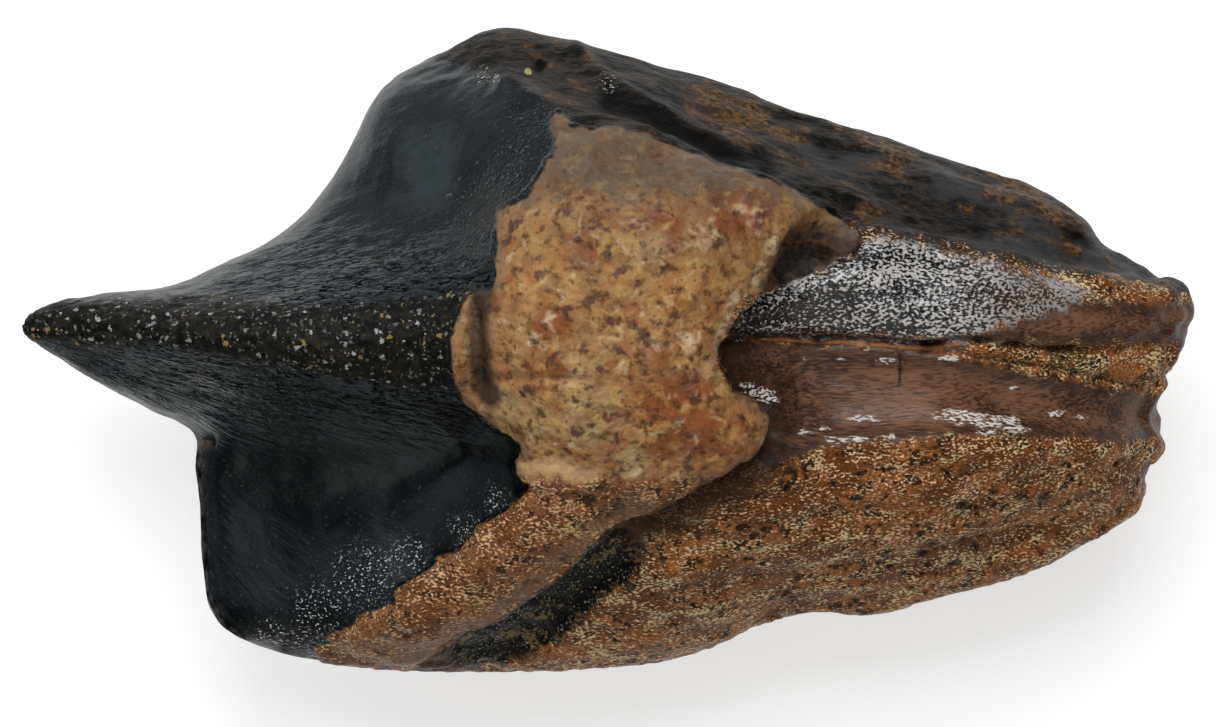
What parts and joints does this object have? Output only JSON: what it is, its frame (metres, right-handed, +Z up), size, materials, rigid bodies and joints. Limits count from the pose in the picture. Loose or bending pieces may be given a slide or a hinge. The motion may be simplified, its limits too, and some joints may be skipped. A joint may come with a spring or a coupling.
{
  "type": "fossil dinosaur tooth",
  "caption": "Rooted fossil cheek tooth with a keeled black enamel crown, a swollen tan neck and a fluted brown root, lying on its flat worn back.",
  "frame": {"origin": "middle of the tooth's plan, on the surface that the worn back lies on", "axes": "+X from the keel's tip to the root's break, +Y across the crown towards its upper corner, +Z up, out of the enamel face"},
  "size_m": [0.051, 0.0282, 0.0204],
  "materials": {
    "fossil_tooth": "satin black enamel, matt speckled tan neck and semi-gloss brown root"
  },
  "bodies": {
    "root": {"tooth": "fossil_tooth"}
  },
  "joints": []
}
